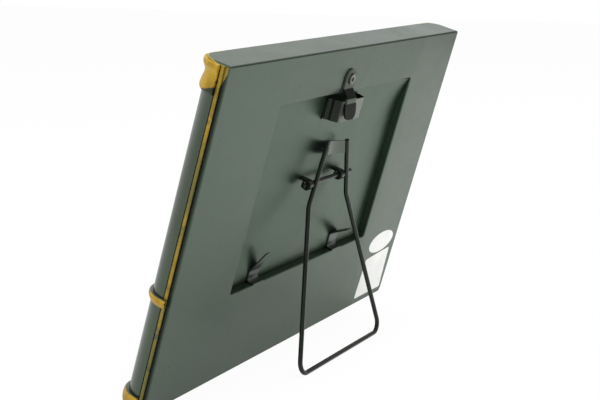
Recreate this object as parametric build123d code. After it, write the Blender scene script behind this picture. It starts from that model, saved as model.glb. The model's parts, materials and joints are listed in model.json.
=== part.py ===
from build123d import *
from math import cos, hypot, radians, sin
import os

# An easel back photo frame, in millimetres. Every piece is drawn with the frame upright:
# X runs across, Z runs up the frame, Y runs out of the back, and the back sheet's outer face is at Y 0.
# At the end the whole frame leans back until it stands on its lower back edge and on the leg's foot bar.

# Clearances
seat_gap = 0.1          # between turned trim and the column under it
pin_gap = 0.05          # radial, between a pin and its hole
running_gap = 0.3       # between pieces that pass each other
stack_gap = 0.4         # around each sheet that lies in the pocket
overrun = 2.0           # how far a cut runs past what it cuts

# Case
case_width = 270.0
case_height = 183.0
case_depth = 18.0
sheet = 0.8
fold_radius = 1.0
rim_radius = 0.75
upper_corner = 1.6
lower_corner = 4.0

# Pocket in the back, which takes a landscape print of 152 by 102
pocket_x = -1.5
pocket_width = 157.6
pocket_height = 104.8
pocket_drop = 25.7      # from the top of the case
pocket_corner = 1.6
recess_depth = 4.6

# Sheets that lie in the pocket, from the back to the front
panel_sheet = 0.8
card_thickness = 2.5
print_thickness = 0.4
glass_thickness = 2.0
sight_margin = 5.0

# Sides of the case
column_radius = 11.5
column_back = 5.5
groove_depth = 2.0
bead_width = 2.1
bead_crown = 0.7
front_setback = 0.5

# Turned trim on the columns: each point is a height in the trim and how far it swells there
capital_turning = (
    (0.0, 0.7), (1.4, 1.5), (3.2, 1.5), (6.4, 0.9),
    (10.0, 0.8), (11.6, 1.7), (13.2, 2.3), (14.8, 2.1),
)
ring_turning = ((0.0, 0.3), (1.3, 1.1), (2.8, 1.6), (4.0, 1.5), (4.8, 0.9))
base_turning = ((0.0, 1.6), (2.0, 2.2), (5.2, 2.3), (6.8, 1.9), (7.5, 1.0))
ring_bottom = 58.6
ring_wrap = 2.4         # how far the rings run on past the columns, over the gold beads

# Turn button and its eyelet
button_x = 6.0
button_rise = 8.1
button_sheet = 1.0
button_width = 10.6
tongue_width = 13.0
tongue_corner = 1.8
tip_corner = 4.6
button_flat = 5.9
button_step = 4.3
button_band = 2.6
button_tip = 21.7
tongue_lift = 2.0
button_bend = 1.2
shank_radius = 1.9
eyelet_bore = 1.1
eyelet_head_radius = 3.1
eyelet_head_height = 1.0
eyelet_tail_radius = 2.8
eyelet_tail_height = 0.8
eyelet_round = 0.35

# Bow spring
bow_x = -0.3
bow_sheet = 0.8
bow_span = 30.8
bow_rise = 7.4
bow_flat = 26.6
bow_bend = 3.6
bow_foot = 2.8
bow_foot_bend = 1.4
bow_length = 12.0
bow_drop = 3.8

# Easel leg: tilts are measured from the panel, with the leg open, and the lean is the whole frame's
lean = 16.75
wire_diameter = 2.6
rod_diameter = 2.6
rod_length = 57.0
rod_chamfer = 0.3
rod_drop = 51.7         # from the top of the pocket
rod_standoff = 4.8
leg_x = -1.0
leg_top_gap = 24.0
leg_foot_gap = 99.6
leg_rise = 21.2
leg_drop = 12.2
upper_tilt = 6.7
lower_tilt = 22.9
leg_bend_radius = 12.0
leg_corner_radius = 6.0
stop_sheet = 1.0
stop_length = 7.6
stop_inset = 0.2

# Hinge straps
strap_sheet = 1.7
strap_width = 3.8
strap_left_gap = 1.11   # clear of the leg's left wire, on its outer side
strap_right_gap = 0.96  # clear of the leg's right wire, on its inner side
strap_flange = 4.0
strap_bend = 1.5
strap_turn = 280.0

# Bottom clips: each one's lip runs out from the panel and up to a narrow tip
clip_sheet = 0.8
clip_width = 10.5
clip_tip = 3.0
clip_proud = 0.4
clip_bend = 1.9
clip_left_inset = 27.8  # from the pocket's side
clip_left_span = 6.0
clip_left_out = 5.5
clip_left_up = 12.0
clip_right_inset = 38.3
clip_right_span = 9.0
clip_right_out = 9.0
clip_right_up = 5.6

# Heights and depths worked out from the sizes above
panel_back = -recess_depth
panel_front = panel_back - panel_sheet
card_front = panel_front - card_thickness
print_front = card_front - print_thickness
glass_front = print_front - glass_thickness
pocket_top = case_height - pocket_drop
pocket_bottom = pocket_top - pocket_height
pocket_middle = pocket_bottom + pocket_height / 2
pocket_left = pocket_x + pocket_width / 2
pocket_right = pocket_x - pocket_width / 2
inner_height = case_height - 2 * sheet
column_x = case_width / 2 - column_radius
column_inner = case_width / 2 - 2 * column_radius
front_face = front_setback - case_depth

# Heights of what is fastened beside or on the panel
button_height = pocket_top + button_rise
bow_top = pocket_top - bow_drop
bow_crown = panel_back + bow_rise + bow_sheet
rod_height = pocket_top - rod_drop

# Leg, open, seen from the side: the wires lie on the outer side of the rod, and are just long enough
# for the leaning frame to stand on the rounded lower edge of its back and on the foot bar
rod_depth = panel_back + rod_standoff
wire_radius = wire_diameter / 2
wire_offset = rod_diameter / 2 + wire_radius
arm_depth = rod_depth + wire_offset * cos(radians(upper_tilt))
arm_height = rod_height + wire_offset * sin(radians(upper_tilt))
bend_depth = arm_depth + leg_drop * sin(radians(upper_tilt))
bend_height = arm_height - leg_drop * cos(radians(upper_tilt))
ground_height = fold_radius * (sin(radians(lean)) + cos(radians(lean)) - 1) + wire_radius
bend_above = bend_height * cos(radians(lean)) - bend_depth * sin(radians(lean)) - ground_height
leg_length = bend_above / cos(radians(lower_tilt - lean))
foot_depth = bend_depth + leg_length * sin(radians(lower_tilt))
foot_height = bend_height - leg_length * cos(radians(lower_tilt))
leg_splay = (leg_foot_gap - leg_top_gap) / 2 / (leg_rise + leg_drop + leg_length)
rod_wire_x = leg_top_gap / 2 + leg_splay * leg_rise
wire_half = wire_radius * hypot(1, leg_splay)
strap_left_x = leg_x + rod_wire_x + wire_half + strap_left_gap + strap_width / 2
strap_right_x = leg_x - rod_wire_x + wire_half + strap_right_gap + strap_width / 2


def block(width, depth_from, depth_to, height_from, height_to, x=0):
    """A box centred on x, between two depths (Y) and two heights (Z)."""
    size = (width, abs(depth_to - depth_from), height_to - height_from)
    place = (x, (depth_from + depth_to) / 2, (height_from + height_to) / 2)
    return Pos(*place) * Box(*size)


def upright_frame(x, width, height, corner, depth_from, depth_to):
    """A rounded rectangle centred on x and on the pocket's middle height, between two depths."""
    outline = Plane.XZ * Pos(x, pocket_middle) * RectangleRounded(width, height, corner)
    prism = extrude(outline, amount=depth_from - depth_to)
    return Pos(0, depth_from, 0) * prism


def bent_strip(path, width, thickness, across):
    """A flat strip bent along a path, with its width along the direction across."""
    section = Plane(origin=path @ 0, x_dir=across, z_dir=path % 0) * Rectangle(width, thickness)
    return sweep(section, path=path)


def side_point(depth, height):
    """A point of a side view, at X 0."""
    return (0, depth, height)


def case_wall(bottom):
    """Top or bottom wall, with front corners as round as the columns."""
    outline = Pos(0, -case_depth / 2) * Rectangle(case_width, case_depth)
    front_corners = outline.vertices().group_by(Axis.Y)[0]
    return Pos(0, 0, bottom) * extrude(fillet(front_corners, column_radius), amount=sheet)


def case_corners():
    """The case's outline seen from behind, right through its depth, to round off its corners."""
    outline = Pos(0, case_height / 2) * Rectangle(case_width, case_height)
    low = outline.vertices().group_by(Axis.Y)[0]
    outline = fillet(low, lower_corner)
    high = outline.vertices().group_by(Axis.Y)[-1]
    outline = fillet(high, upper_corner)
    return extrude(Plane.XZ * outline, amount=case_depth, both=True)


def back_sheet():
    """Back with its folded top and bottom walls and the sleeve of the pocket."""
    shell = block(case_width, 0, -sheet, 0, case_height)
    shell += case_wall(0)
    shell += case_wall(case_height - sheet)
    folds = shell.edges().filter_by(Axis.X).group_by(Axis.Y)[-1]
    shell = fillet(folds, fold_radius) & case_corners()
    sleeve = (pocket_width + 2 * sheet, pocket_height + 2 * sheet, pocket_corner + sheet)
    shell += upright_frame(pocket_x, *sleeve, -sheet / 2, glass_front)
    pocket = (pocket_width, pocket_height, pocket_corner)
    shell -= upright_frame(pocket_x, *pocket, overrun, glass_front - overrun)
    rim = shell.edges().group_by(Axis.Y)[-1]
    rim = [edge for edge in rim if abs(edge.center().X) < case_width / 2 - overrun]
    rim = [edge for edge in rim if pocket_bottom - overrun < edge.center().Z < pocket_top + overrun]
    shell = fillet(rim, rim_radius)
    hole = Cylinder(shank_radius + pin_gap, 2 * overrun, rotation=(90, 0, 0))
    return shell - Pos(button_x, -sheet, button_height) * hole


def front_frame():
    """Pressed front plate: sides folded back to the back sheet, and a sleeve round the sight opening."""
    width = 2 * (column_inner - seat_gap)
    plate = block(width, front_face, front_face + sheet, sheet, case_height - sheet)
    for side in (-1, 1):
        plate += block(sheet, front_face, -sheet, sheet, case_height - sheet, side * (width - sheet) / 2)
    sight = (pocket_width - 2 * sight_margin, pocket_height - 2 * sight_margin)
    sleeve = (sight[0] + 2 * sheet, sight[1] + 2 * sheet, pocket_corner + sheet)
    plate += upright_frame(0, *sleeve, glass_front, front_face + sheet / 2)
    return plate - upright_frame(0, *sight, pocket_corner, glass_front + overrun, front_face - overrun)


def pocket_sheet(back, front):
    """A flat sheet that lies loose in the pocket."""
    size = (pocket_width - 2 * stack_gap, pocket_height - 2 * stack_gap)
    return upright_frame(pocket_x, *size, pocket_corner, back, front)


def bow_spring():
    """Strip bent into a bridge: a flat crown between two sloping walls that turn out into flat feet."""
    low = bow_sheet / 2
    high = low + bow_rise
    reach = bow_span / 2
    path = FilletPolyline(
        (-reach - bow_foot, low),
        (-reach, low),
        (-bow_flat / 2, high),
        (bow_flat / 2, high),
        (reach, low),
        (reach + bow_foot, low),
        radius=[bow_foot_bend, bow_bend, bow_bend, bow_foot_bend],
    )
    strip = bent_strip(path.wire(), bow_length, bow_sheet, (0, 0, 1))
    return Pos(bow_x, panel_back, bow_top - bow_length / 2) * strip


def button_outline():
    """The button seen from behind, hanging from its pivot: a strip, and a wider tongue with a round tip."""
    shoulder = button_flat + button_step + button_band
    strip = Pos(0, -shoulder / 2) * SlotCenterToCenter(shoulder, button_width, rotation=90)
    tongue = Pos(0, -(shoulder + button_tip) / 2) * Rectangle(tongue_width, button_tip - shoulder)
    tongue = fillet(tongue.vertices().group_by(Axis.Y)[-1], tongue_corner)
    tongue = fillet(tongue.vertices().group_by(Axis.Y)[0], tip_corner)
    return strip + tongue


def turn_button():
    """Stepped strip: flat under the eyelet, stepped out over the bow, and flared at the tongue's tip."""
    low = running_gap / 2 + button_sheet / 2
    high = bow_crown + running_gap + button_sheet / 2
    step_start = button_height - button_flat
    step_end = step_start - button_step
    band_end = step_end - button_band
    tip = button_height - button_tip
    bends = (
        side_point(low, button_height + button_width),
        side_point(low, step_start),
        side_point(high, step_end),
        side_point(high, band_end),
        side_point(high + tongue_lift, tip),
    )
    path = FilletPolyline(*bends, radius=button_bend)
    strip = bent_strip(path.wire(), tongue_width, button_sheet, (1, 0, 0))
    prism = extrude(Plane.XZ * button_outline(), amount=case_depth, both=True)
    hole = Cylinder(shank_radius + pin_gap, case_depth, rotation=(90, 0, 0))
    return Pos(button_x, 0, 0) * (strip & Pos(0, 0, button_height) * (prism - hole))


def button_eyelet():
    """Eyelet that holds the button: a rolled head outside, a tube, and a rolled tail inside."""
    head_seat = running_gap + button_sheet
    outline = Polyline(
        (eyelet_bore, -sheet - eyelet_tail_height),
        (eyelet_tail_radius, -sheet - eyelet_tail_height),
        (eyelet_tail_radius, -sheet),
        (shank_radius, -sheet),
        (shank_radius, head_seat),
        (eyelet_head_radius, head_seat),
        (eyelet_head_radius, head_seat + eyelet_head_height),
        (eyelet_bore, head_seat + eyelet_head_height),
        close=True,
    )
    tube = revolve(make_face(outline), axis=Axis.Y)
    tube = fillet(tube.edges().group_by(Axis.Y)[-1], eyelet_round)
    return Pos(button_x, 0, button_height) * tube


def wire_x(length):
    """Half gap between the wires, at a length along the leg from its top ends."""
    return leg_top_gap / 2 + leg_splay * length


def leg_wire():
    """One wire: two splayed arms, kinked below the rod, joined by the foot bar."""
    top_depth = arm_depth - leg_rise * sin(radians(upper_tilt))
    top_height = arm_height + leg_rise * cos(radians(upper_tilt))
    left = [
        (wire_x(0), top_depth, top_height),
        (wire_x(leg_rise + leg_drop), bend_depth, bend_height),
        (leg_foot_gap / 2, foot_depth, foot_height),
    ]
    right = [(-x, depth, height) for x, depth, height in reversed(left)]
    radii = [leg_bend_radius, leg_corner_radius, leg_corner_radius, leg_bend_radius]
    path = FilletPolyline(*left, *right, radius=radii)
    section = Plane(origin=path @ 0, z_dir=path % 0) * Circle(wire_radius)
    return Pos(leg_x, 0, 0) * sweep(section, path=path.wire())


def hinge_rod():
    """Cross rod that the leg turns on, with softened ends."""
    rod = Cylinder(rod_diameter / 2, rod_length, rotation=(0, 90, 0))
    rod = chamfer(rod.edges().filter_by(GeomType.CIRCLE), rod_chamfer)
    return Pos(leg_x, rod_depth, rod_height) * rod


def stop_plate():
    """Strip bowed from wire to wire: its middle meets the panel when the leg is open."""
    high = leg_rise - stop_inset
    low = high - stop_length
    slant = hypot(1, leg_splay)
    top_depth = arm_depth - high * sin(radians(upper_tilt))
    reach = (top_depth - panel_back - running_gap) / cos(radians(upper_tilt))

    def section(level):
        half = wire_x(leg_rise - level) - wire_radius * slant
        inner_half = half - stop_sheet
        inner_reach = reach - stop_sheet
        edges = [
            ThreePointArc((half, 0), (0, -reach), (-half, 0)).edge(),
            Line((-half, 0), (-inner_half, 0)).edge(),
            ThreePointArc((-inner_half, 0), (0, -inner_reach), (inner_half, 0)).edge(),
            Line((inner_half, 0), (half, 0)).edge(),
        ]
        return Pos(0, 0, level) * make_face(Wire(edges))

    strip = loft([section(low), section(high)], ruled=True)
    return Pos(leg_x, arm_depth, arm_height) * Rot(X=upper_tilt) * strip


def hinge_strap(strap_x):
    """Strip fixed flat to the panel, turned out and curled round the rod."""
    loop_radius = rod_diameter / 2 + pin_gap + strap_sheet / 2
    flat = panel_back + strap_sheet / 2
    neck = rod_height + loop_radius
    tail = FilletPolyline(
        side_point(flat, neck + strap_flange),
        side_point(flat, neck),
        side_point(rod_depth, neck),
        radius=strap_bend,
    )
    half_way = radians(90 - strap_turn / 2)
    end = radians(90 - strap_turn)
    curl = ThreePointArc(
        side_point(rod_depth, neck),
        side_point(rod_depth + loop_radius * cos(half_way), rod_height + loop_radius * sin(half_way)),
        side_point(rod_depth + loop_radius * cos(end), rod_height + loop_radius * sin(end)),
    )
    path = Wire(list(tail.edges()) + [curl.edge()])
    return Pos(strap_x, 0, 0) * bent_strip(path, strap_width, strap_sheet, (1, 0, 0))


def bottom_clip(clip_x, span, out, up):
    """Spring strip fixed to the pocket's lower wall, turned up along the panel and out as a tapered lip."""
    root = pocket_bottom + clip_sheet / 2
    press = panel_back + clip_sheet / 2
    lip = root + span
    path = FilletPolyline(
        side_point(clip_proud, root),
        side_point(press, root),
        side_point(press, lip),
        side_point(press + out, lip + up),
        radius=clip_bend,
    )
    strip = bent_strip(path.wire(), clip_width, clip_sheet, (1, 0, 0))
    top = lip + up + clip_sheet
    right = ((clip_width / 2, root - overrun), (clip_width / 2, lip), (clip_tip / 2, top))
    left = tuple((-x, height) for x, height in reversed(right))
    outline = Plane.XZ * make_face(Polyline(*right, *left, close=True))
    return Pos(clip_x, 0, 0) * (strip & extrude(outline, amount=case_depth, both=True))


def side_rail(side):
    """Channel between back sheet and column, set in from the edge to leave the groove."""
    outer = case_width / 2 - groove_depth
    width = outer - column_inner
    middle = side * (outer + column_inner) / 2
    rail = block(width, -sheet, -column_back, sheet, case_height - sheet, middle)
    hollow = block(width - 2 * sheet, -sheet + overrun, -column_back + sheet, 0, case_height, middle)
    return (rail - hollow) & case_corners()


def gold_bead(side):
    """Bead with a rounded crown, standing in the groove and flush with the case's side."""
    outer = case_width / 2 - groove_depth
    shoulder = case_width / 2 - bead_crown
    front = -column_back
    back = front + bead_width
    edges = [
        Line((outer, front), (outer, back)).edge(),
        Line((outer, back), (shoulder, back)).edge(),
        ThreePointArc((shoulder, back), (case_width / 2, (front + back) / 2), (shoulder, front)).edge(),
        Line((shoulder, front), (outer, front)).edge(),
    ]
    bead = Pos(0, 0, sheet) * extrude(make_face(Wire(edges)), amount=inner_height) & case_corners()
    return bead if side > 0 else mirror(bead, about=Plane.YZ)


def half_round(outer, inner, side):
    """Front half of a ring around a column's axis, as an outline seen from above."""
    ring = Circle(outer) - Circle(inner)
    front = Pos(0, -outer) * Rectangle(4 * outer, 2 * outer)
    return Pos(side * column_x, -column_back) * (ring & front)


def column(side):
    """Half-round column, rolled from sheet."""
    outline = half_round(column_radius, column_radius - sheet, side)
    return Pos(0, 0, sheet) * extrude(outline, amount=inner_height)


def turned_trim(turning, bottom, side, wrap=0):
    """Turned trim round a column's front, from the front frame's side to the end of its wrap."""
    inner = column_radius + seat_gap
    swell_from = column_radius + 2 * seat_gap
    profile = Spline(*((swell_from + swell, bottom + height) for height, swell in turning))
    top = bottom + trim_height(turning)
    edges = [
        profile.edge(),
        Line(profile @ 1, (inner, top)).edge(),
        Line((inner, top), (inner, bottom)).edge(),
        Line((inner, bottom), profile @ 0).edge(),
    ]
    section = Plane.XZ * make_face(Wire(edges))
    ring = Pos(side * column_x, -column_back, 0) * revolve(section, axis=Axis.Z)
    reach = case_depth + column_radius
    middle = side * (column_inner + reach / 2)
    trim = ring & block(reach, -column_back, -column_back - reach, 0, case_height, middle)
    if wrap:
        tail = extrude(section, amount=wrap, dir=(0, 1, 0))
        tail = tail if side > 0 else mirror(tail, about=Plane.YZ)
        trim += Pos(side * column_x, -column_back, 0) * tail
    return trim


def trim_height(turning):
    return turning[-1][0] - turning[0][0]


def build_nodes():
    capital_bottom = case_height - sheet - trim_height(capital_turning)
    nodes = {
        "back_sheet": back_sheet(),
        "front_frame": front_frame(),
        "glass_pane": pocket_sheet(print_front, glass_front),
        "photo_print": pocket_sheet(card_front, print_front),
        "backing_card": pocket_sheet(panel_front, card_front),
        "back_panel": pocket_sheet(panel_back, panel_front),
        "bow_spring": bow_spring(),
        "turn_button": turn_button(),
        "button_eyelet": button_eyelet(),
        "leg_wire": leg_wire(),
        "hinge_rod": hinge_rod(),
        "stop_plate": stop_plate(),
        "hinge_strap_left": hinge_strap(strap_left_x),
        "hinge_strap_right": hinge_strap(strap_right_x),
        "bottom_clip_left": bottom_clip(
            pocket_left - clip_left_inset, clip_left_span, clip_left_out, clip_left_up),
        "bottom_clip_right": bottom_clip(
            pocket_right + clip_right_inset, clip_right_span, clip_right_out, clip_right_up),
    }
    for name, side in (("left", 1), ("right", -1)):
        nodes["side_rail_" + name] = side_rail(side)
        nodes["gold_bead_" + name] = gold_bead(side)
        nodes["column_" + name] = column(side)
        nodes["capital_" + name] = turned_trim(capital_turning, capital_bottom, side)
        nodes["ring_" + name] = turned_trim(ring_turning, ring_bottom, side, ring_wrap)
        nodes["base_" + name] = turned_trim(base_turning, sheet, side)
    return nodes


def stand_up(nodes):
    """Lean every piece back and put the origin on the ground, under the middle of the whole."""
    leaned = {name: Rot(X=-lean) * piece for name, piece in nodes.items()}
    boxes = [piece.bounding_box() for piece in leaned.values()]
    front = min(box.min.Y for box in boxes)
    back = max(box.max.Y for box in boxes)
    ground = min(box.min.Z for box in boxes)
    placing = Pos(0, -(front + back) / 2, -ground) * Rot(X=-lean)
    return {name: placing * piece for name, piece in nodes.items()}, placing


standing, placing = stand_up(build_nodes())
os.makedirs("parts", exist_ok=True)
for name, piece in standing.items():
    export_step(piece, os.path.join("parts", name + ".step"))
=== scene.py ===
import json
import math

import bmesh
import bpy
from mathutils import Matrix, Vector, noise


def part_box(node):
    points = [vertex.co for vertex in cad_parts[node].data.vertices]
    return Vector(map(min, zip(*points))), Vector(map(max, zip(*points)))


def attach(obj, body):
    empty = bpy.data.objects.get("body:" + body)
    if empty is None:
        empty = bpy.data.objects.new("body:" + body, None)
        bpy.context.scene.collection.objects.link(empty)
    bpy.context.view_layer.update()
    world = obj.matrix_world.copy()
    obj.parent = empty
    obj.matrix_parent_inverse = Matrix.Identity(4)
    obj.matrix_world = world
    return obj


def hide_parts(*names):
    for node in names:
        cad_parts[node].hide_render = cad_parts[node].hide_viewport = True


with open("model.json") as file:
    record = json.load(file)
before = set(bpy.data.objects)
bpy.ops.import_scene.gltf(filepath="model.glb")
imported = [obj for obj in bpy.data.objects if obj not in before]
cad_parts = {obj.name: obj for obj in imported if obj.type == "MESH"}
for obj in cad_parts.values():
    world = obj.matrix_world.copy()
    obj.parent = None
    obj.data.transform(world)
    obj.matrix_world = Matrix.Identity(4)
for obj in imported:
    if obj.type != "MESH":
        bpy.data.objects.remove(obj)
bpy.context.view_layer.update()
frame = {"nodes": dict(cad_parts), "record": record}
cad = frame["nodes"]
print("frame loaded:", len(cad), "nodes")

mm = 0.001

# the frame leans back, so pieces are drawn upright and then stood up:
# x across, y out of the back, z up the back, with the back's outer face at y 0
baseMount = frame["record"]["mounts"][0]
leanAngle = math.atan2(-baseMount["axis"][1], -baseMount["axis"][2])
caseDepth = 18 * mm  # the mount lies in the middle of it
backNormal = Vector((0, math.cos(leanAngle), -math.sin(leanAngle)))
standPoint = Vector(baseMount["pos_m"]) + backNormal * caseDepth / 2
upright = Matrix.Translation(standPoint) @ Matrix.Rotation(-leanAngle, 4, "X")
laidBack = upright.inverted()

sharpAngle = math.radians(40)  # faces that meet at more than this keep their edge


class Shade:
    # a socket in a node tree: plain maths on it adds Math nodes
    def __init__(self, tree, socket=None):
        self.tree = tree
        self.socket = socket

    def add(self, kind, settings=None, inputs=None, out=0):
        made = self.tree.nodes.new(kind)
        for key, value in (settings or {}).items():
            setattr(made, key, value)
        for key, value in (inputs or {}).items():
            if isinstance(value, Shade):
                self.tree.links.new(value.socket, made.inputs[key])
            else:
                made.inputs[key].default_value = value
        return Shade(self.tree, made.outputs[out]) if made.outputs else None

    def other(self, out):
        # another output of the same node
        return Shade(self.tree, self.socket.node.outputs[out])

    def sum(self, operation, first, second=0.0):
        return self.add("ShaderNodeMath", {"operation": operation}, {0: first, 1: second})

    def __add__(self, other):
        return self.sum("ADD", self, other)

    def __sub__(self, other):
        return self.sum("SUBTRACT", self, other)

    def __rsub__(self, other):
        return self.sum("SUBTRACT", other, self)

    def __mul__(self, other):
        return self.sum("MULTIPLY", self, other)

    def __gt__(self, other):
        return self.sum("GREATER_THAN", self, other)

    def __lt__(self, other):
        return self.sum("LESS_THAN", self, other)

    __radd__ = __add__
    __rmul__ = __mul__

    def size(self):
        return self.sum("ABSOLUTE", self)

    def root(self):
        return self.sum("SQRT", self)

    def least(self, other):
        return self.sum("MINIMUM", self, other)

    def most(self, other):
        return self.sum("MAXIMUM", self, other)

    def clamp(self, low, high):
        # 0 up to low, 1 from high on, and smooth between
        inputs = {"Value": self, "From Min": low, "From Max": high}
        return self.add("ShaderNodeMapRange", {"interpolation_type": "SMOOTHSTEP"}, inputs)

    def mix(self, first, second):
        return self.add("ShaderNodeMix", {"data_type": "RGBA"}, {0: self, 6: first, 7: second}, 2)


def noiseShade(flow, place, scale, detail=2.0, rough=0.5):
    inputs = {"Vector": place, "Scale": scale, "Detail": detail, "Roughness": rough}
    return flow.add("ShaderNodeTexNoise", None, inputs)


def uprightAxes(flow, place):
    # x, y and z of the upright drawing, in metres
    inputs = {"Vector": place, "Location": laidBack.to_translation(), "Rotation": laidBack.to_euler()}
    drawn = flow.add("ShaderNodeMapping", {"vector_type": "POINT"}, inputs)
    across = flow.add("ShaderNodeSeparateXYZ", None, {"Vector": drawn})
    return across, across.other(1), across.other(2)


def colour(red, green, blue):
    return (red, green, blue, 1.0)


def newMaterial(name):
    material = bpy.data.materials.new(name)
    material.use_nodes = True
    tree = material.node_tree
    tree.nodes.clear()
    flow = Shade(tree)
    place = flow.add("ShaderNodeTexCoord", None, None, "Object")
    return material, flow, place


def endMaterial(flow, inputs):
    surface = flow.add("ShaderNodeBsdfPrincipled", None, inputs)
    flow.add("ShaderNodeOutputMaterial", None, {"Surface": surface})


def bumpShade(flow, height):
    # the height is in metres
    return flow.add("ShaderNodeBump", None, {"Strength": 1.0, "Distance": 1.0, "Height": height})


# the layers of noise in the paint: scale, detail and roughness of each, and how strongly it shows
paintGrain = {
    "slow": (14, 1.5), "cloud": (42, 4, 0.6), "peel": (1400, 2), "smear": (120, 3, 0.65), "pick": (70, 1),
    "cells": 260.0, "cloudSpan": (0.3, 0.7), "pickSpan": (0.56, 0.62), "dustShow": 0.6, "dustRough": 0.2,
    "dustHigh": 0.02 * mm, "smearRough": 0.08, "giltRagged": 6 * mm, "sheenRagged": 0.6 * mm,
}

# black gloss paint: slow waves of the sheet, fine orange peel, dust caught in it
greenGloss = colour(0.66, 1.0, 0.69)
greyGloss = colour(0.86, 1.0, 0.84)
warmGloss = colour(0.80, 1.0, 0.74)
sheetLook = {
    "dark": colour(0.004, 0.007, 0.005), "pale": colour(0.008, 0.012, 0.009), "dust": colour(0.10, 0.11, 0.10),
    "rough": 0.36, "roughSpread": 0.10, "wave": 0.26 * mm, "peel": 0.0028 * mm, "dustSize": 0.05,
    "gloss": greenGloss, "ior": 1.8,
}
columnLook = {
    "dark": colour(0.005, 0.007, 0.006), "pale": colour(0.010, 0.013, 0.011), "dust": colour(0.09, 0.09, 0.08),
    "rough": 0.26, "roughSpread": 0.12, "wave": 0.12 * mm, "peel": 0.004 * mm, "dustSize": 0.05,
    "gloss": warmGloss, "ior": 1.8,
}
hardwareLook = {
    "dark": colour(0.005, 0.006, 0.005), "pale": colour(0.011, 0.013, 0.011), "dust": colour(0.08, 0.08, 0.075),
    "rough": 0.30, "roughSpread": 0.08, "wave": 0.02 * mm, "peel": 0.002 * mm, "dustSize": 0.04,
    "gloss": greyGloss, "ior": 1.7,
}
wireLook = {**hardwareLook, "rough": 0.14, "ior": 1.4}
panelFinish = {**sheetLook, "gloss": colour(0.56, 1.0, 0.60), "ior": 1.73}
plateLook = {**hardwareLook, "rough": 0.16, "ior": 2.0}
# the button carries a painted sheen: lighter bands on its flats where they catch the light
buttonLook = {
    **hardwareLook, "rough": 0.30, "ior": 1.13, "paintedSheen": colour(0.075, 0.085, 0.070),
    "sheenAxis": 2, "sheenBands": ((152.5 * mm, 155.2 * mm), (159.8 * mm, 180 * mm)), "sheenSoft": 0.4 * mm,
}
# the bow carries a painted sheen: a lighter band over its crown where it catches the light
bowLook = {
    **hardwareLook, "rough": 0.16, "ior": 1.3, "paintedSheen": colour(0.12, 0.13, 0.11), "sheenAxis": 1,
    "sheenBands": ((3.1 * mm, 6.0 * mm),), "sheenSoft": 0.3 * mm,
}
grooveLook = {
    "dark": colour(0.0025, 0.003, 0.0025), "pale": colour(0.005, 0.006, 0.005), "dust": colour(0.03, 0.03, 0.028),
    "rough": 0.55, "roughSpread": 0.10, "wave": 0.02 * mm, "peel": 0.004 * mm, "dustSize": 0.04,
    "gloss": greyGloss, "ior": 1.65, "giltAbove": 173 * mm, "giltOut": -3.5 * mm, "giltSlope": 3.5,
}

# gold that ran over the top wall's edge beside the capitals, and the mitres of the back's right strip
edgeGold = {
    "colour": colour(0.46, 0.32, 0.035), "columnX": 123.5 * mm, "columnY": -6.5 * mm, "inner": 11.2 * mm,
    "from": 112 * mm, "low": 182.1 * mm, "back": -2.4 * mm, "rough": 0.42, "metal": 0.25,
}
mitre = {"side": -79.0 * mm, "low": 52.5 * mm, "high": 157.3 * mm, "slant": 0.23, "fall": 0.06, "soft": 7 * mm}


def edgeGoldMask(axes):
    across, out, up = axes
    wide = across.size()
    aside = (wide - edgeGold["columnX"]).most(0)
    forward = (out - edgeGold["columnY"]).least(0)
    reach = (aside * aside + forward * forward).root()
    near = (wide > edgeGold["from"]) * (out < edgeGold["back"])
    return (reach > edgeGold["inner"]) * near * (up > edgeGold["low"])


def mitreHeight(axes):
    # the back's right strip is bent along a mitre from each corner of the pocket and falls away a little
    across, _, up = axes
    past = (up - mitre["high"]).most(mitre["low"] - up).most(0)
    beyond = (mitre["side"] - past * mitre["slant"] - across).most(0)
    return (beyond * beyond + mitre["soft"] ** 2).root() * -mitre["fall"]


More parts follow.
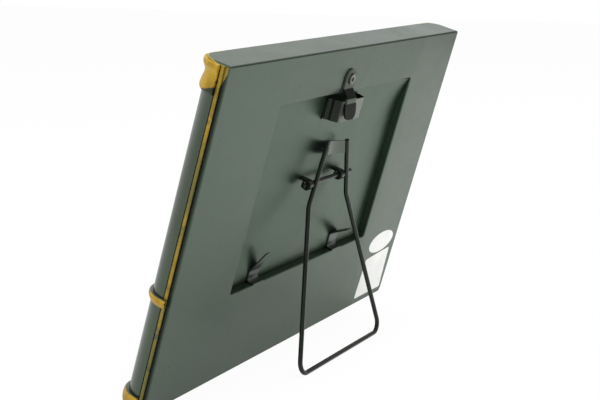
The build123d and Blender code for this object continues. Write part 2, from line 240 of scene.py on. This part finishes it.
def paintMaterial(name, look, caseBack=False):
    material, flow, place = newMaterial(name)
    grain = paintGrain
    slow = noiseShade(flow, place, *grain["slow"])
    cloud = noiseShade(flow, place, *grain["cloud"])
    peel = noiseShade(flow, place, *grain["peel"])
    smear = noiseShade(flow, place, *grain["smear"])
    inputs = {"Vector": place, "Scale": grain["cells"]}
    cells = flow.add("ShaderNodeTexVoronoi", {"feature": "F1"}, inputs, "Distance")
    pick = noiseShade(flow, place, *grain["pick"])
    dust = (cells < look["dustSize"]) * pick.clamp(*grain["pickSpan"])
    body = cloud.clamp(*grain["cloudSpan"]).mix(look["dark"], look["pale"])
    skin = (dust * grain["dustShow"]).mix(body, look["dust"])
    gloss = look["rough"] + (cloud - 0.5) * look["roughSpread"]
    gloss = gloss + (smear - 0.5) * grain["smearRough"] + dust * grain["dustRough"]
    height = slow * look["wave"] + peel * look["peel"] + dust * grain["dustHigh"]
    inputs = {"IOR": look["ior"], "Specular Tint": look["gloss"]}
    if caseBack:
        axes = uprightAxes(flow, place)
        gilt = edgeGoldMask(axes)
        skin = gilt.mix(skin, edgeGold["colour"])
        gloss = gloss + gilt * (edgeGold["rough"] - look["rough"])
        height = height + mitreHeight(axes)
        inputs["Metallic"] = gilt * edgeGold["metal"]
    if "giltAbove" in look:
        # the gold ran into the groove at its top, less of it towards the back
        _, out, up = uprightAxes(flow, place)
        run = up + (smear - 0.5) * grain["giltRagged"] - (out - look["giltOut"]) * look["giltSlope"]
        gilt = run > look["giltAbove"]
        skin = gilt.mix(skin, edgeGold["colour"])
    if "paintedSheen" in look:
        # lighter bands painted on the button's flats and on the bow's crown: a painted sheen where these faces catch
        # the light
        along = uprightAxes(flow, place)[look["sheenAxis"]] + (smear - 0.5) * grain["sheenRagged"]
        soft = look["sheenSoft"]
        for low, high in look["sheenBands"]:
            sheenBand = along.clamp(low - soft, low + soft) - along.clamp(high - soft, high + soft)
            skin = sheenBand.mix(skin, look["paintedSheen"])
    inputs.update({"Base Color": skin, "Roughness": gloss, "Normal": bumpShade(flow, height)})
    endMaterial(flow, inputs)
    return material


# gold paint, brushed by hand over the black and rubbed through at the edges
goldLook = {
    "bright": colour(0.52, 0.325, 0.020), "deep": colour(0.33, 0.195, 0.012), "black": colour(0.007, 0.009, 0.007),
    "wornFrom": 0.60, "wornTo": 0.72, "rough": 0.42, "metal": 0.2, "ior": 1.35, "blackRough": 0.26, "blackIor": 1.8,
}
capitalLook = {
    **goldLook, "brushFront": (-16.0 * mm, 167.0 * mm), "brushBack": (-5.5 * mm, 171.6 * mm), "brushSoft": 0.5 * mm,
    "blackRough": 0.45, "blackIor": 1.5,
}
# the tops of the ring and the base turn black above these heights
ringLook = {**goldLook, "blackAbove": 63.05 * mm}
baseLook = {**goldLook, "blackAbove": 8.0 * mm}
lineLook = {
    **goldLook, "bright": colour(0.48, 0.31, 0.026), "deep": colour(0.26, 0.17, 0.016), "wornFrom": 0.52,
    "wornTo": 0.68, "dullFrom": 110 * mm, "dullTo": 185 * mm, "dull": colour(0.150, 0.133, 0.034),
    "crown": 134.25 * mm, "crownTo": 173 * mm,
}


# the layers of noise in the gold: scale, detail and roughness, and how strongly each shows
goldGrain = {
    "patch": (90, 4, 0.6), "rub": (160, 5, 0.62), "fine": (2200, 2), "streak": (32, 2), "patchSpan": (0.32, 0.66),
    "streakSpan": (0.46, 0.60), "ragged": 3 * mm, "showThrough": 0.85, "freshest": 0.85, "dullRagged": 12,
    "crownRagged": 0.2, "blackAboveRagged": 0.3, "fineRough": 0.2, "blackFine": 0.1, "fineHigh": 0.006 * mm,
    "patchHigh": 0.06 * mm, "leafHigh": 0.04 * mm,
}


def goldMaterial(name, look):
    material, flow, place = newMaterial(name)
    across, out, up = uprightAxes(flow, place)
    grain = goldGrain
    patch = noiseShade(flow, place, *grain["patch"])
    rub = noiseShade(flow, place, *grain["rub"])
    fine = noiseShade(flow, place, *grain["fine"])
    ragged = (rub - 0.5) * grain["ragged"]
    bare = rub.clamp(look["wornFrom"], look["wornTo"]) * grain["showThrough"]
    leaf = patch.clamp(*grain["patchSpan"]).mix(look["deep"], look["bright"])
    if "dull" in look:
        streak = noiseShade(flow, place, *grain["streak"]).clamp(*grain["streakSpan"])
        upper = (up + ragged * grain["dullRagged"]).clamp(look["dullFrom"], look["dullTo"])
        leaf = (streak.most(upper) * grain["freshest"]).mix(look["dull"], leaf)
        side = (across.size() + ragged * grain["crownRagged"]) < look["crown"]
        bare = bare.most(side * (up + ragged < look["crownTo"]))
    # black above a height, over the top face
    if "blackAbove" in look:
        bare = bare.most((up + ragged * grain["blackAboveRagged"]) > look["blackAbove"])
    if "brushFront" in look:
        front, back = look["brushFront"], look["brushBack"]
        slope = (back[1] - front[1]) / (back[0] - front[0])
        line = (out - front[0]) * slope + front[1] + ragged
        bare = bare.most(1 - (up - line).clamp(-look["brushSoft"], look["brushSoft"]))
    normal = bumpShade(flow, fine * grain["fineHigh"] + patch * grain["patchHigh"] - bare * grain["leafHigh"])
    gilt = flow.add("ShaderNodeBsdfPrincipled", None, {
        "Base Color": leaf, "Roughness": look["rough"] + (fine - 0.5) * grain["fineRough"], "Metallic": look["metal"],
        "IOR": look["ior"], "Normal": normal,
    })
    black = flow.add("ShaderNodeBsdfPrincipled", None, {
        "Base Color": look["black"], "Roughness": look["blackRough"] + (fine - 0.5) * grain["blackFine"],
        "IOR": look["blackIor"], "Specular Tint": columnLook["gloss"], "Normal": normal,
    })
    both = flow.add("ShaderNodeMixShader", None, {0: bare, 1: gilt, 2: black})
    flow.add("ShaderNodeOutputMaterial", None, {"Surface": both})
    return material


steelLook = {
    "bright": colour(0.19, 0.195, 0.175), "dull": colour(0.06, 0.062, 0.055), "rough": 0.30, "rub": (500, 4, 0.6),
    "rubSpan": (0.35, 0.65), "rubRough": 0.3, "rubHigh": 0.01 * mm, "metal": 0.9,
}


def steelMaterial(name, look):
    material, flow, place = newMaterial(name)
    rub = noiseShade(flow, place, *look["rub"])
    skin = rub.clamp(*look["rubSpan"]).mix(look["dull"], look["bright"])
    gloss = look["rough"] + (rub - 0.5) * look["rubRough"]
    normal = bumpShade(flow, rub * look["rubHigh"])
    endMaterial(flow, {"Base Color": skin, "Roughness": gloss, "Normal": normal, "Metallic": look["metal"]})
    return material


paperLook = {
    "clean": colour(0.86, 0.86, 0.85), "aged": colour(0.76, 0.76, 0.74), "rough": 0.6, "fibre": 900.0,
    "relief": 0.008 * mm,
}
printLook = {
    "clean": colour(0.80, 0.79, 0.76), "aged": colour(0.70, 0.69, 0.65), "rough": 0.45, "fibre": 700.0,
    "relief": 0.004 * mm,
}
boardLook = {
    "clean": colour(0.42, 0.34, 0.24), "aged": colour(0.30, 0.24, 0.17), "rough": 0.85, "fibre": 500.0,
    "relief": 0.03 * mm,
}


# stains and fibres that every paper shares
paperGrain = {
    "stain": (60, 3), "stainShare": 0.6, "fibreShare": 0.4, "span": (0.35, 0.7), "fibreRough": 0.15, "fibre": (5, 0.7),
}


def paperMaterial(name, look):
    material, flow, place = newMaterial(name)
    grain = paperGrain
    fibre = noiseShade(flow, place, look["fibre"], *grain["fibre"])
    stain = noiseShade(flow, place, *grain["stain"])
    age = (stain * grain["stainShare"] + fibre * grain["fibreShare"]).clamp(*grain["span"])
    skin = age.mix(look["clean"], look["aged"])
    normal = bumpShade(flow, fibre * look["relief"])
    rough = look["rough"] + (fibre - 0.5) * grain["fibreRough"]
    endMaterial(flow, {"Base Color": skin, "Roughness": rough, "Normal": normal})
    return material


glassLook = {
    "tint": colour(0.93, 0.97, 0.95), "rough": 0.02, "smear": (35, 3, 0.6), "smearSpan": (0.5, 0.9), "smearRough": 0.06,
    "ior": 1.5,
}


def glassMaterial(name, look):
    material, flow, place = newMaterial(name)
    smear = noiseShade(flow, place, *look["smear"])
    rough = look["rough"] + smear.clamp(*look["smearSpan"]) * look["smearRough"]
    endMaterial(flow, {
        "Base Color": look["tint"], "Roughness": rough, "Transmission Weight": 1.0, "IOR": look["ior"],
    })
    return material


backPaint = paintMaterial("backPaint", sheetLook, True)
sheetPaint = paintMaterial("sheetPaint", sheetLook)
columnPaint = paintMaterial("columnPaint", columnLook)
hardwarePaint = paintMaterial("hardwarePaint", hardwareLook)
bowPaint = paintMaterial("bowPaint", bowLook)
buttonPaint = paintMaterial("buttonPaint", buttonLook)
wirePaint = paintMaterial("wirePaint", wireLook)
panelPaint = paintMaterial("panelPaint", panelFinish)
platePaint = paintMaterial("platePaint", plateLook)
groovePaint = paintMaterial("groovePaint", grooveLook)
capitalGold = goldMaterial("capitalGold", capitalLook)
ringGold = goldMaterial("ringGold", ringLook)
baseGold = goldMaterial("baseGold", baseLook)
goldLine = goldMaterial("goldLine", lineLook)
eyeletSteel = steelMaterial("eyeletSteel", steelLook)
stickerPaper = paperMaterial("stickerPaper", paperLook)
printPaper = paperMaterial("printPaper", printLook)
backingBoard = paperMaterial("backingBoard", boardLook)
clearGlass = glassMaterial("clearGlass", glassLook)

nodeFinish = {
    "back_sheet": backPaint, "front_frame": sheetPaint, "back_panel": sheetPaint,
    "bow_spring": bowPaint, "turn_button": buttonPaint, "leg_wire": wirePaint,
    "hinge_rod": wirePaint, "stop_plate": platePaint, "button_eyelet": eyeletSteel,
    "glass_pane": clearGlass, "photo_print": printPaper, "backing_card": backingBoard,
}
for side in ("_left", "_right"):
    nodeFinish.update({
        "hinge_strap" + side: hardwarePaint, "bottom_clip" + side: hardwarePaint,
        "side_rail" + side: groovePaint, "column" + side: columnPaint, "gold_bead" + side: goldLine,
        "capital" + side: capitalGold, "ring" + side: ringGold, "base" + side: baseGold,
    })
for name, finish in nodeFinish.items():
    slots = cad[name].data.materials
    slots.clear()
    slots.append(finish)
print("finishes set on", len(nodeFinish), "nodes")


def finishPiece(name, mesh, material, body, smooth=True):
    # the mesh is drawn upright, and stands up here
    mesh.transform(upright)
    mesh.materials.clear()
    mesh.materials.append(material)
    for face in mesh.polygons:
        face.use_smooth = smooth
    piece = bpy.data.objects.new(name, mesh)
    bpy.context.scene.collection.objects.link(piece)
    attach(piece, body)
    return piece


def meshFrom(name, drawing):
    mesh = bpy.data.meshes.new(name)
    drawing.to_mesh(mesh)
    drawing.free()
    return mesh


def solidFrom(name, drawing):
    bmesh.ops.recalc_face_normals(drawing, faces=drawing.faces)
    return meshFrom(name, drawing)


def joinLoops(drawing, loops):
    # closes the sides between each loop of corners and the next
    count = len(loops[0])
    for low, high in zip(loops, loops[1:]):
        for k in range(count):
            drawing.faces.new((low[k], low[(k + 1) % count], high[(k + 1) % count], high[k]))


def sideways(points, k):
    # square to a path at one of its points
    ahead = (points[min(k + 1, len(points) - 1)] - points[max(k - 1, 0)]).normalized()
    return Vector((-ahead.y, ahead.x))


# the panel in the pocket: its top right corner has sprung out
panelLook = {
    "middle": (-1.5 * mm, 104.9 * mm), "size": (156.8 * mm, 104.0 * mm), "back": -4.6 * mm, "sheet": 0.8 * mm,
    "steps": (84, 56), "lift": 3.8 * mm, "liftWide": 100 * mm, "liftHigh": 25 * mm, "sway": 0.22 * mm,
    "swaySize": 26.0, "swayLayer": 7, "edge": 8 * mm, "drawIn": 0.35 * mm,
}


def panelLift(x, z):
    # how far the panel stands out of its flat place, in the upright drawing
    right = panelLook["middle"][0] - panelLook["size"][0] / 2
    top = panelLook["middle"][1] + panelLook["size"][1] / 2
    aside = max(0, 1 - (x - right) / panelLook["liftWide"])
    below = max(0, 1 - (top - z) / panelLook["liftHigh"])
    return panelLook["lift"] * aside * aside * below * below


def panelSway(x, z):
    wide = panelLook["size"][0] / 2 - abs(x - panelLook["middle"][0])
    high = panelLook["size"][1] / 2 - abs(z - panelLook["middle"][1])
    inside = min(1, wide / panelLook["edge"], high / panelLook["edge"])
    spot = Vector((x, z, panelLook["swayLayer"])) * panelLook["swaySize"]
    return -abs(noise.noise(spot)) * panelLook["sway"] * inside


def makePanel():
    columns, rows = panelLook["steps"]
    drawing = bmesh.new()
    skins = []
    for depth in (0, panelLook["sheet"]):
        grid = []
        for j in range(rows + 1):
            line = []
            for i in range(columns + 1):
                x = panelLook["middle"][0] + panelLook["size"][0] * (i / columns - 0.5)
                z = panelLook["middle"][1] + panelLook["size"][1] * (j / rows - 0.5)
                lift = panelLift(x, z)
                y = panelLook["back"] + lift + panelSway(x, z) - depth
                sprung = lift / panelLook["lift"] * panelLook["drawIn"]
                line.append(drawing.verts.new((x + sprung, y, z - sprung)))
            grid.append(line)
        skins.append(grid)
    outer, inner = skins
    for grid in skins:
        for j in range(rows):
            for i in range(columns):
                drawing.faces.new((grid[j][i], grid[j][i + 1], grid[j + 1][i + 1], grid[j + 1][i]))
    rim = [(i, 0) for i in range(columns)] + [(columns, j) for j in range(rows)]
    rim += [(i, rows) for i in range(columns, 0, -1)] + [(0, j) for j in range(rows, 0, -1)]
    for (i, j), (k, n) in zip(rim, rim[1:] + rim[:1]):
        drawing.faces.new((outer[j][i], outer[n][k], inner[n][k], inner[j][i]))
    panel = finishPiece("sprungPanel", solidFrom("sprungPanel", drawing), panelPaint, "frame")
    panel.data.set_sharp_from_angle(angle=sharpAngle)
    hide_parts("back_panel")


makePanel()
print("panel made")

# the straps that hold the hinge rod: each comes out of a slit in the panel and curls round the rod
strapLook = {
    "rod": (0.2 * mm, 105.6 * mm), "panel": panelLook["back"], "root": 0.4 * mm, "inner": 1.37 * mm, "sheet": 1.7 * mm,
    "width": 3.8 * mm, "turn": 300.0, "steps": 40, "chamfer": 0.22 * mm, "tip": 0.55, "thinFrom": 0.6, "armSteps": 7,
}


def ribbonSolid(name, points, sheets, width, middle, chamfer, lying=False):
    # a strip of changing thickness: its points are (y, z) and its width goes across x,
    # or, lying, its points are (x, y) and its width goes along z
    half = width / 2
    drawing = bmesh.new()
    loops = []
    for k, point in enumerate(points):
        out = sideways(points, k)
        high = sheets[k] / 2
        corners = (
            (-half, chamfer - high), (-half, high - chamfer), (chamfer - half, high), (half - chamfer, high),
            (half, high - chamfer), (half, chamfer - high), (half - chamfer, -high), (chamfer - half, -high),
        )
        loop = []
        for aside, lift in corners:
            spot = point + out * lift
            place = (spot.x, spot.y, middle + aside) if lying else (middle + aside, spot.x, spot.y)
            loop.append(drawing.verts.new(place))
        loops.append(loop)
    joinLoops(drawing, loops)
    drawing.faces.new(loops[0])
    drawing.faces.new(list(reversed(loops[-1])))
    return solidFrom(name, drawing)


def makeStrap(name, node):
    low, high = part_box(node)
    rod = Vector(strapLook["rod"])
    loop = strapLook["inner"] + strapLook["sheet"] / 2
    points = []
    foot = strapLook["panel"] - strapLook["root"]
    for k in range(strapLook["armSteps"]):
        points.append(Vector((foot + (rod.x - foot) * k / strapLook["armSteps"], rod.y + loop)))
    for k in range(strapLook["steps"] + 1):
        turn = math.radians(90 - strapLook["turn"] * k / strapLook["steps"])
        points.append(rod + Vector((math.cos(turn), math.sin(turn))) * loop)
    last = len(points) - 1
    sheets = []
    for k in range(last + 1):
        thinned = max(0, (k / last - strapLook["thinFrom"]) / (1 - strapLook["thinFrom"]))
        sheets.append(strapLook["sheet"] * (1 - (1 - strapLook["tip"]) * thinned))
    middle = (low[0] + high[0]) / 2
    mesh = ribbonSolid(name, points, sheets, strapLook["width"], middle, strapLook["chamfer"])
    strap = finishPiece(name, mesh, wirePaint, "frame")
    strap.data.set_sharp_from_angle(angle=sharpAngle)
    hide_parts(node)


makeStrap("curledStrapLeft", "hinge_strap_left")
makeStrap("curledStrapRight", "hinge_strap_right")
print("straps made")

# the bow that the button rides up on: its walls were rolled unevenly, which left them fluted
bowShape = {
    "middle": (-0.3 * mm, 147.5 * mm), "panel": panelLook["back"], "sheet": 0.8 * mm, "span": 30.8 * mm,
    "flat": 26.6 * mm, "rise": 7.4 * mm, "foot": 2.8 * mm, "bend": 3.6 * mm, "footBend": 1.4 * mm, "length": 12 * mm,
    "steps": 14, "flutePitch": 3.1 * mm, "flute": 0.17 * mm, "fade": 1.2 * mm, "spacing": 0.3 * mm,
    "chamfer": 0.12 * mm,
}


def roundedPath(corners, radii, steps, spacing):
    # straight runs with rounded corners, in even short steps
    path = [corners[0]]
    for before, corner, after, radius in zip(corners, corners[1:], corners[2:], radii):
        back, ahead = (before - corner).normalized(), (after - corner).normalized()
        half = back.angle(ahead) / 2
        middle = corner + (back + ahead).normalized() * (radius / math.sin(half))
        start, end = (corner + way * (radius / math.tan(half)) - middle for way in (back, ahead))
        path += [middle + start.lerp(end, k / steps).normalized() * radius for k in range(steps + 1)]
    path.append(corners[-1])
    even = [path[0]]
    for start, end in zip(path, path[1:]):
        count = max(1, round((end - start).length / spacing))
        even += [start.lerp(end, k / count) for k in range(1, count + 1)]
    return even


def makeBow():
    look = bowShape
    low = look["panel"] + look["sheet"] / 2
    high = low + look["rise"]
    half, reach = look["flat"] / 2, look["span"] / 2
    sides = ((-reach - look["foot"], low), (-reach, low), (-half, high))
    corners = [Vector((look["middle"][0] + x, y)) for x, y in sides + tuple((-x, y) for x, y in reversed(sides))]
    radii = (look["footBend"], look["bend"], look["bend"], look["footBend"])
    path = roundedPath(corners, radii, look["steps"], look["spacing"])
    points = []
    for k, point in enumerate(path):
        fade = max(0, min(1, (point.y - low) / look["fade"], (high - point.y) / look["fade"]))
        wave = look["flute"] * fade * math.sin(2 * math.pi * (high - point.y) / look["flutePitch"])
        points.append(point + sideways(path, k) * wave)
    sheets = [look["sheet"]] * len(points)
    mesh = ribbonSolid("flutedBow", points, sheets, look["length"], look["middle"][1], look["chamfer"], True)
    bow = finishPiece("flutedBow", mesh, bowPaint, "frame")
    bow.data.set_sharp_from_angle(angle=sharpAngle)
    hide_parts("bow_spring")


makeBow()
print("bow made")

# two blank paper stickers at the back's lower corner, the cut one with its corners in mm
stickers = {
    "ovalSticker": {"middle": (-112.0 * mm, 42.0 * mm), "size": (34.6 * mm, 14.4 * mm), "lift": 0.08 * mm, "steps": 64},
    "cornerSticker": {
        "corners": ((-94.5, 4.6), (-131.6, 4.6), (-128.6, 34.6), (-112.0, 33.6), (-95.6, 32.3)), "round": 1.6 * mm,
        "lift": 0.16 * mm, "steps": 8,
    },
}
stickerEdge = {
    "glue": 0.01 * mm, "rise": 0.8, "inset": 0.985, "middle": 0.5, "wrinkle": 0.05 * mm, "wrinkleSize": 90,
    "wrinkleLayer": 3,
}


def ovalOutline(look):
    points = []
    for k in range(look["steps"]):
        turn = 2 * math.pi * k / look["steps"]
        x = look["middle"][0] + look["size"][0] / 2 * math.cos(turn)
        points.append(Vector((x, look["middle"][1] + look["size"][1] / 2 * math.sin(turn))))
    return points


def cutOutline(look):
    # straight cuts with rounded corners
    corners = [Vector(corner) * mm for corner in look["corners"]]
    points = []
    for k, corner in enumerate(corners):
        before = (corners[k - 1] - corner).normalized() * look["round"]
        after = (corners[(k + 1) % len(corners)] - corner).normalized() * look["round"]
        for j in range(look["steps"] + 1):
            share = j / look["steps"]
            points.append(corner + before * (1 - share) ** 2 + after * share ** 2)
    return points


def makeSticker(name, look):
    outline = ovalOutline(look) if "middle" in look else cutOutline(look)
    centre = sum(outline, Vector((0, 0))) / len(outline)
    drawing = bmesh.new()
    rings = []
    edge, top = stickerEdge, look["lift"]
    levels = ((1.0, edge["glue"]), (1.0, top * edge["rise"]), (edge["inset"], top), (edge["middle"], top))
    for share, lift in levels:
        ring = []
        for point in outline:
            x, z = centre + (point - centre) * share
            spot = Vector((x, z, edge["wrinkleLayer"])) * edge["wrinkleSize"]
            wrinkle = abs(noise.noise(spot)) * edge["wrinkle"] * (share < 1)
            ring.append(drawing.verts.new((x, lift + wrinkle, z)))
        rings.append(ring)
    joinLoops(drawing, rings)
    drawing.faces.new(rings[-1])
    drawing.faces.new(list(reversed(rings[0])))
    finishPiece(name, solidFrom(name, drawing), stickerPaper, "frame", False)


for name, look in stickers.items():
    makeSticker(name, look)
print("stickers made")


def newTree(name, sizes):
    # a Geometry Nodes tree with named number inputs, a material input and one geometry in and out
    tree = bpy.data.node_groups.new(name, "GeometryNodeTree")
    tree.interface.new_socket("Geometry", in_out="OUTPUT", socket_type="NodeSocketGeometry")
    tree.interface.new_socket("Geometry", in_out="INPUT", socket_type="NodeSocketGeometry")
    for label, value in sizes.items():
        kind = "NodeSocketInt" if isinstance(value, int) else "NodeSocketFloat"
        tree.interface.new_socket(label, in_out="INPUT", socket_type=kind)
    tree.interface.new_socket("Finish", in_out="INPUT", socket_type="NodeSocketMaterial")
    flow = Shade(tree)
    given = flow.add("NodeGroupInput")
    return flow, given


def endTree(flow, given, shape):
    plain = flow.add("GeometryNodeRealizeInstances", None, {"Geometry": shape})
    done = flow.add("GeometryNodeSetMaterial", None, {"Geometry": plain, "Material": given.other("Finish")})
    flow.add("NodeGroupOutput", None, {"Geometry": done})
    return flow.tree


def growPiece(name, guide, tree, sizes, material, body):
    # runs the tree on the guide mesh and keeps the result as a plain mesh
    holder = bpy.data.objects.new(name + "Guide", guide)
    bpy.context.scene.collection.objects.link(holder)
    grower = holder.modifiers.new("grow", "NODES")
    grower.node_group = tree
    for socket in tree.interface.items_tree:
        if socket.in_out == "INPUT" and socket.name in sizes:
            grower[socket.identifier] = sizes[socket.name]
        elif socket.in_out == "INPUT" and socket.name == "Finish":
            grower[socket.identifier] = material
    bpy.context.view_layer.update()
    seen = holder.evaluated_get(bpy.context.evaluated_depsgraph_get())
    mesh = bpy.data.meshes.new_from_object(seen)
    mesh.name = name
    holder.modifiers.clear()
    bpy.data.objects.remove(holder)
    finishPiece(name, mesh, material, body)


def randomSize(flow, given):
    inputs = {2: given.other("Smallest"), 3: given.other("Largest"), "Seed": given.other("Seed")}
    return flow.add("FunctionNodeRandomValue", {"data_type": "FLOAT"}, inputs, 1)


# specks of dust caught in the paint of the back
nibLook = {
    "Spacing": 5.0 * mm, "Count": 5200.0, "Size": 0.26 * mm, "Flat": 0.34, "Smallest": 0.45, "Largest": 1.4, "Seed": 11,
}
nibFields = (  # left, right, low and high edges of the back's bare strips, in mm
    (-128, 128, 161, 178), (-92, 128, 6, 48), (-129, -85, 54, 158), (82, 129, 54, 158), (-128, -92, 50, 54),
)


def nibTree():
    flow, given = newTree("paintNibs", nibLook)
    spots = flow.add("GeometryNodeDistributePointsOnFaces", {"distribute_method": "POISSON"}, {
        "Mesh": given, "Distance Min": given.other("Spacing"), "Density Max": given.other("Count"),
        "Seed": given.other("Seed"),
    })
    speck = flow.add("GeometryNodeMeshIcoSphere", None, {"Radius": given.other("Size"), "Subdivisions": 2})
    squat = flow.add("ShaderNodeCombineXYZ", None, {"X": 1.0, "Y": 1.0, "Z": given.other("Flat")})
    flat = flow.add("GeometryNodeTransform", None, {"Geometry": speck, "Scale": squat})
    grow = randomSize(flow, given)
    made = flow.add("GeometryNodeInstanceOnPoints", None, {
        "Points": spots, "Instance": flat, "Rotation": spots.other("Rotation"), "Scale": grow,
    })
    return endTree(flow, given, made)


def makeNibs():
    drawing = bmesh.new()
    for left, right, low, high in nibFields:
        corners = ((left, low), (left, high), (right, high), (right, low))
        face = drawing.faces.new([drawing.verts.new((x * mm, 0, z * mm)) for x, z in corners])
        face.normal_update()
        if face.normal.y < 0:
            face.normal_flip()
    guide = meshFrom("nibGuide", drawing)
    growPiece("paintNibs", guide, nibTree(), nibLook, backPaint, "frame")


# a ripple of weld round each place where the leg's wires cross the hinge rod
weldLook = {"Beads": 11, "Bead": 0.52 * mm, "Smallest": 0.85, "Largest": 1.2, "Seed": 5}
weldPlaces = {
    "x": (17.63 * mm, -19.63 * mm), "y": 1.49 * mm, "z": 105.75 * mm, "radius": 1.15 * mm, "tilt": math.radians(6.7),
    "steps": 24,
}


def weldTree():
    flow, given = newTree("weldRipple", weldLook)
    path = flow.add("GeometryNodeMeshToCurve", None, {"Mesh": given})
    steps = flow.add("GeometryNodeResampleCurve", None, {"Curve": path, "Count": given.other("Beads")})
    bead = flow.add("GeometryNodeMeshIcoSphere", None, {"Radius": given.other("Bead"), "Subdivisions": 3})
    grow = randomSize(flow, given)
    made = flow.add("GeometryNodeInstanceOnPoints", None, {"Points": steps, "Instance": bead, "Scale": grow})
    return endTree(flow, given, made)


def makeWelds():
    steps = weldPlaces["steps"]
    drawing = bmesh.new()
    outward = Vector((0, math.cos(weldPlaces["tilt"]), math.sin(weldPlaces["tilt"])))
    along = Vector((0, -outward.z, outward.y))
    for x in weldPlaces["x"]:
        centre = Vector((x, weldPlaces["y"], weldPlaces["z"]))
        ring = []
        for k in range(steps):
            turn = 2 * math.pi * k / steps
            side = Vector((math.cos(turn), 0, 0)) + along * math.sin(turn)
            ring.append(drawing.verts.new(centre + side * weldPlaces["radius"]))
        for k in range(steps):
            drawing.edges.new((ring[k], ring[(k + 1) % steps]))
    guide = meshFrom("weldGuide", drawing)
    growPiece("weldRipples", guide, weldTree(), weldLook, wirePaint, "leg")


makeNibs()
makeWelds()
print("nibs and welds made")

# plain pale floor and soft light: the walls round it are pale, and one side of the room is dim
stageLook = {
    "floorSize": 6.0, "floor": colour(0.92, 0.93, 0.92), "cameraWhite": 0.94, "glossWhite": 0.25,
    "ambient": 0.75, "backdrop": 1.12, "near": 0.5, "nearFrom": -0.2, "nearTo": 0.4,
    "room": 0.12, "roomWay": (-0.86, 0.51, 0.0), "roomFrom": 0.62, "roomTo": 0.9, "roomLow": 0.05, "roomHigh": 0.4,
    "paperWay": (-0.93, 0.37, 0.0), "paperFrom": 0.72, "paperTo": 0.95, "paperDark": 0.8,
}
lamps = {
    "topBox": {"place": (0.25, 0.30, 1.25), "aim": (0, 0, 0.1), "size": 0.9, "power": 9.0},
    "sideBox": {"place": (-0.95, 0.75, 0.65), "aim": (0, 0, 0.08), "size": 0.8, "power": 6.0},
}


def makeFloor():
    drawing = bmesh.new()
    bmesh.ops.create_grid(drawing, x_segments=1, y_segments=1, size=stageLook["floorSize"] / 2)
    mesh = meshFrom("floor", drawing)
    floor = bpy.data.objects.new("floor", mesh)
    bpy.context.scene.collection.objects.link(floor)
    material, flow, place = newMaterial("paleFloor")
    path = flow.add("ShaderNodeLightPath", None, None, "Is Camera Ray")
    glossy = path.other("Is Glossy Ray")
    through = path.other("Is Transmission Ray")
    seen = path * stageLook["cameraWhite"] + glossy * stageLook["glossWhite"] + through * stageLook["cameraWhite"]
    matt = flow.add("ShaderNodeBsdfDiffuse", None, {"Color": stageLook["floor"]})
    white = flow.add("ShaderNodeEmission", None, {"Color": colour(1, 1, 1), "Strength": 1.0})
    paper = flow.add("ShaderNodeMixShader", None, {0: seen, 1: matt, 2: white})
    # the pale paper ends on the far side, which only reflections show
    inputs = {0: place, 1: Vector(stageLook["paperWay"])}
    reach = flow.add("ShaderNodeVectorMath", {"operation": "DOT_PRODUCT"}, inputs, "Value")
    past = reach.clamp(stageLook["paperFrom"], stageLook["paperTo"]) * glossy * stageLook["paperDark"]
    black = flow.add("ShaderNodeEmission", None, {"Color": colour(0, 0, 0), "Strength": 0.0})
    both = flow.add("ShaderNodeMixShader", None, {0: past, 1: paper, 2: black})
    flow.add("ShaderNodeOutputMaterial", None, {"Surface": both})
    mesh.materials.append(material)


def makeWorld():
    world = bpy.data.worlds.new("studio")
    bpy.context.scene.world = world
    world.use_nodes = True
    tree = world.node_tree
    tree.nodes.clear()
    flow = Shade(tree)
    path = flow.add("ShaderNodeLightPath", None, None, "Is Camera Ray")
    shown = path + path.other("Is Transmission Ray")
    glossy = path.other("Is Glossy Ray")
    way = flow.add("ShaderNodeTexCoord", None, None, "Generated")
    inputs = {0: way, 1: Vector(stageLook["roomWay"])}
    facing = flow.add("ShaderNodeVectorMath", {"operation": "DOT_PRODUCT"}, inputs, "Value")
    height = flow.add("ShaderNodeSeparateXYZ", None, {"Vector": way}, 2)
    inward = height.other(1)
    near = inward.clamp(stageLook["nearFrom"], stageLook["nearTo"])
    walls = stageLook["backdrop"] + near * (stageLook["near"] - stageLook["backdrop"])
    low = 1 - height.clamp(stageLook["roomLow"], stageLook["roomHigh"])
    room = facing.clamp(stageLook["roomFrom"], stageLook["roomTo"]) * low
    mirrored = walls + room * (stageLook["room"] - walls)
    strength = shown + (1 - shown) * (glossy * mirrored + (1 - glossy) * stageLook["ambient"])
    back = flow.add("ShaderNodeBackground", None, {"Color": colour(1, 1, 1), "Strength": strength})
    flow.add("ShaderNodeOutputWorld", None, {"Surface": back})


def makeLamp(name, look):
    lamp = bpy.data.lights.new(name, "AREA")
    lamp.shape = "DISK"
    lamp.size = look["size"]
    lamp.energy = look["power"]
    holder = bpy.data.objects.new(name, lamp)
    holder.location = look["place"]
    holder.rotation_euler = (Vector(look["aim"]) - holder.location).to_track_quat("-Z", "Y").to_euler()
    holder.visible_glossy = False
    bpy.context.scene.collection.objects.link(holder)


viewLook = {
    "place": (0.63593, 0.34629, 0.23148), "turn": (78.729, -0.007, 118.808), "lens": 78.6, "sensor": 36.0, "near": 0.01,
}


def makeCamera():
    eye = bpy.data.cameras.new("camera")
    eye.lens = viewLook["lens"]
    eye.sensor_width = viewLook["sensor"]
    eye.clip_start = viewLook["near"]
    holder = bpy.data.objects.new("camera", eye)
    holder.location = viewLook["place"]
    holder.rotation_euler = [math.radians(turn) for turn in viewLook["turn"]]
    bpy.context.scene.collection.objects.link(holder)
    bpy.context.scene.camera = holder


makeFloor()
makeWorld()
for name, look in lamps.items():
    makeLamp(name, look)
makeCamera()
bpy.context.scene.view_settings.view_transform = "Standard"
print("stage, light and camera made")
